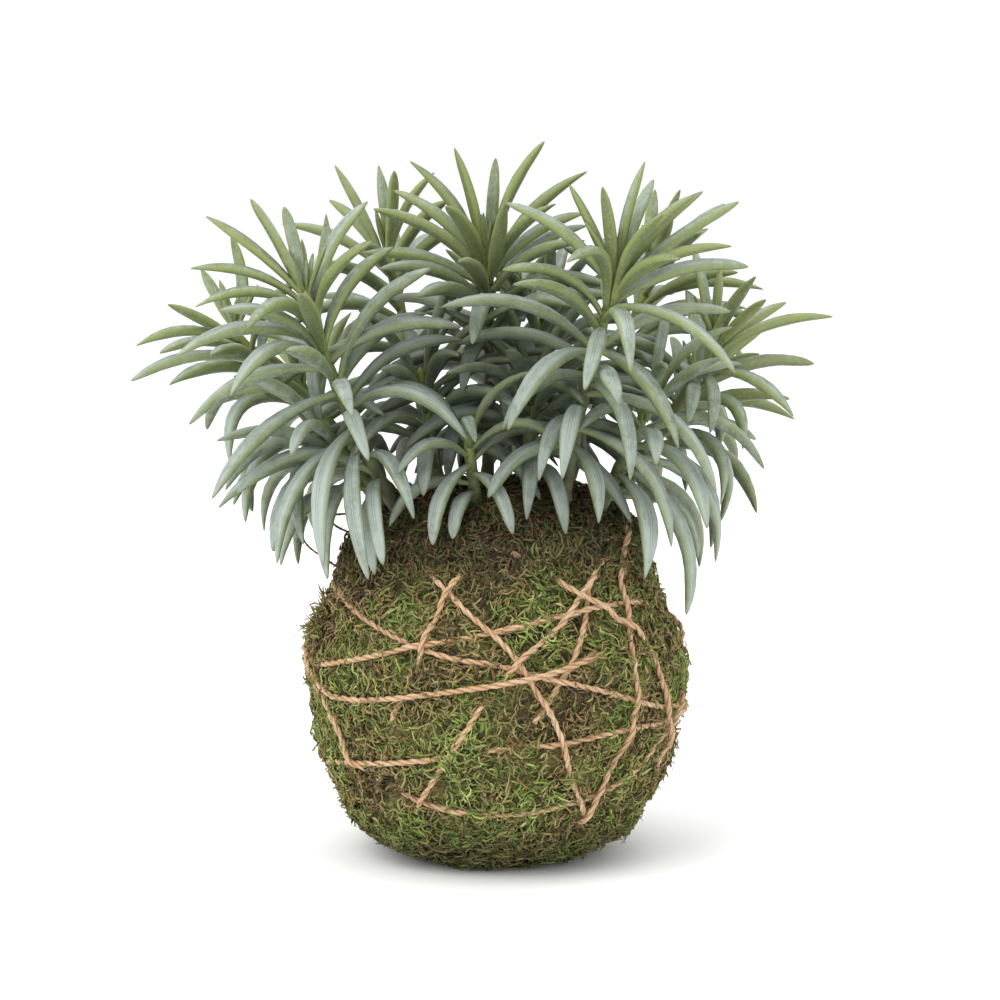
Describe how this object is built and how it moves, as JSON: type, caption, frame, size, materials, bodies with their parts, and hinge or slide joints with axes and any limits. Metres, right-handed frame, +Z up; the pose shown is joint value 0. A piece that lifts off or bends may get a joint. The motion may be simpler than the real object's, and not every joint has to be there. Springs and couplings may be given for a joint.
{
  "type": "kokedama moss ball plant",
  "caption": "Kokedama: leafy succulent shoots with long pointed grey-green leaves, planted in a moss ball bound with thin twine, standing on a small flat spot.",
  "frame": {"origin": "centre of the flat spot that the moss ball rests on", "axes": "+Z up, -Y toward the front, +X to the right seen from the front"},
  "size_m": [0.2207, 0.1622, 0.2289],
  "materials": {
    "leaf_green": "fleshy leaf with a pale waxy bloom, yellow-green edges and underside, satin",
    "stem_green": "soft green stem with pale leaf scars, matt",
    "moss_green": "dense curly sheet moss, green to brown, matt and ragged",
    "soil_brown": "damp dark peat and clay soil, matt",
    "jute_tan": "two or three ply jute twine, fibrous and matt"
  },
  "bodies": {
    "root": {"back_far_left_leaves": "leaf_green", "back_far_left_stem": "stem_green", "back_far_right_leaves": "leaf_green", "back_far_right_stem": "stem_green", "back_left_leaves": "leaf_green", "back_left_stem": "stem_green", "back_middle_leaves": "leaf_green", "back_middle_stem": "stem_green", "back_right_leaves": "leaf_green", "back_right_stem": "stem_green", "far_left_leaves": "leaf_green", "far_left_stem": "stem_green", "far_right_leaves": "leaf_green", "far_right_stem": "stem_green", "front_left_leaves": "leaf_green", "front_left_stem": "stem_green", "front_middle_leaves": "leaf_green", "front_middle_stem": "stem_green", "front_right_leaves": "leaf_green", "front_right_stem": "stem_green", "inner_back_leaves": "leaf_green", "inner_back_stem": "stem_green", "inner_left_leaves": "leaf_green", "inner_left_stem": "stem_green", "inner_right_leaves": "leaf_green", "inner_right_stem": "stem_green", "low_left_leaves": "leaf_green", "low_left_stem": "stem_green", "low_right_leaves": "leaf_green", "low_right_stem": "stem_green", "middle_leaves": "leaf_green", "middle_stem": "stem_green", "moss_wrap": "moss_green", "soil_ball": "soil_brown", "twine": "jute_tan"}
  },
  "joints": []
}
